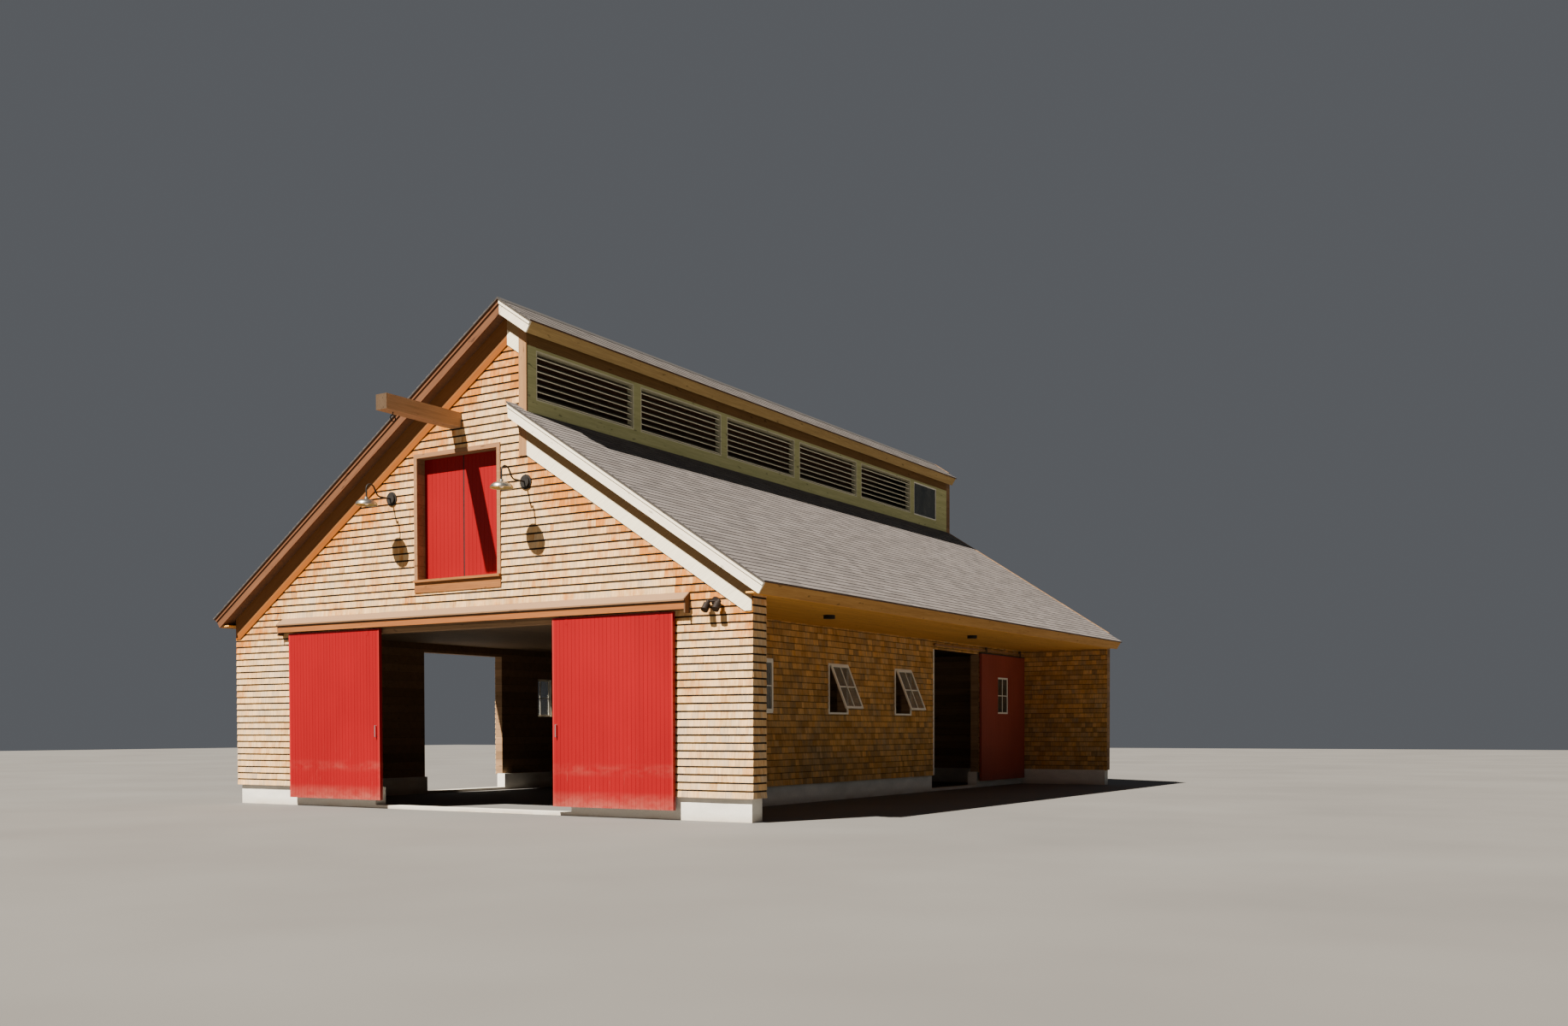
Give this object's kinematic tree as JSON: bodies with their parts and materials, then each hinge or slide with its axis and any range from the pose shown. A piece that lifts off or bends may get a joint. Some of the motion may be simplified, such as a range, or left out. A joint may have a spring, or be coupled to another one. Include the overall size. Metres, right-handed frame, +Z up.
{
  "type": "barn",
  "caption": "Shingled timber barn with an offset ridge, a louvred clerestory, red sliding doors, a hoist beam over a loft door and a recessed side porch.",
  "frame": {"origin": "on the ground under the middle of the front foundation", "axes": "+X to the right across the front, +Y from the front into the building, +Z up"},
  "size_m": [13.5246, 19.45, 9.1122],
  "materials": {
    "foundation": "rough cast concrete, weathered pale",
    "shingle": "natural cedar shingles, weathered unevenly",
    "shade_shingle": "cedar shingles in the shade of the porch",
    "floor": "rough sawn floor boards",
    "roofing": "grey brown asphalt shingles in courses",
    "trim": "natural wood trim boards",
    "louvre": "weathered grey green timber",
    "soffit": "golden brown boards",
    "timber": "brown weathered timber",
    "red": "bright red paint on boards",
    "dark_red": "dark red paint on boards",
    "steel": "galvanised steel",
    "black": "dark painted steel",
    "cream": "cream paint",
    "glass": "clear window glass"
  },
  "bodies": {
    "barn": {"foundation": "foundation", "front_wall_left": "shingle", "front_wall_right": "shingle", "front_gable_wall": "shingle", "left_wall_front": "shingle", "left_wall_header": "shingle", "left_wall_rear": "shingle", "side_wall_front": "shade_shingle", "side_wall_header": "shade_shingle", "side_wall_rear": "shade_shingle", "rear_party_wall": "shingle", "loft_floor": "floor", "clerestory_frame": "louvre", "clerestory_louvres": "louvre", "clerestory_window": "louvre", "corner_board": "trim", "left_roof": "roofing", "upper_right_roof": "roofing", "lower_right_roof": "roofing", "ridge_cap": "roofing", "upper_rake": "trim", "lower_rake": "trim", "frieze_boards": "trim", "eave_boards": "soffit", "left_soffit": "soffit", "porch_ceiling": "soffit", "hoist_beam": "timber", "hoist_hook": "black", "loft_casing": "timber", "loft_door_left": "red", "loft_door_right": "red", "door_hood": "timber", "hood_fascia": "timber", "hood_ends": "timber", "front_track": "steel", "side_track": "steel", "window_frames": "cream", "window_sashes": "cream", "window_glass": "glass", "lamp_arms": "black", "lamp_shades": "steel", "floodlight": "black", "porch_lights": "black"},
    "left_leaf": {"front_door_left": "red", "front_pull_left": "steel"},
    "right_leaf": {"front_door_right": "red", "front_pull_right": "steel"},
    "side_leaf": {"side_door": "dark_red", "side_door_window": "cream"}
  },
  "joints": [
    {"name": "front_left_slide", "type": "slide", "parent": "barn", "child": "left_leaf", "axis": [1, 0, 0], "range_m": [-0.22, 2.15]},
    {"name": "front_right_slide", "type": "slide", "parent": "barn", "child": "right_leaf", "axis": [-1, 0, 0], "range_m": [-0.22, 2.15]},
    {"name": "side_slide", "type": "slide", "parent": "barn", "child": "side_leaf", "axis": [0, -1, 0], "range_m": [0, 2.75]}
  ]
}
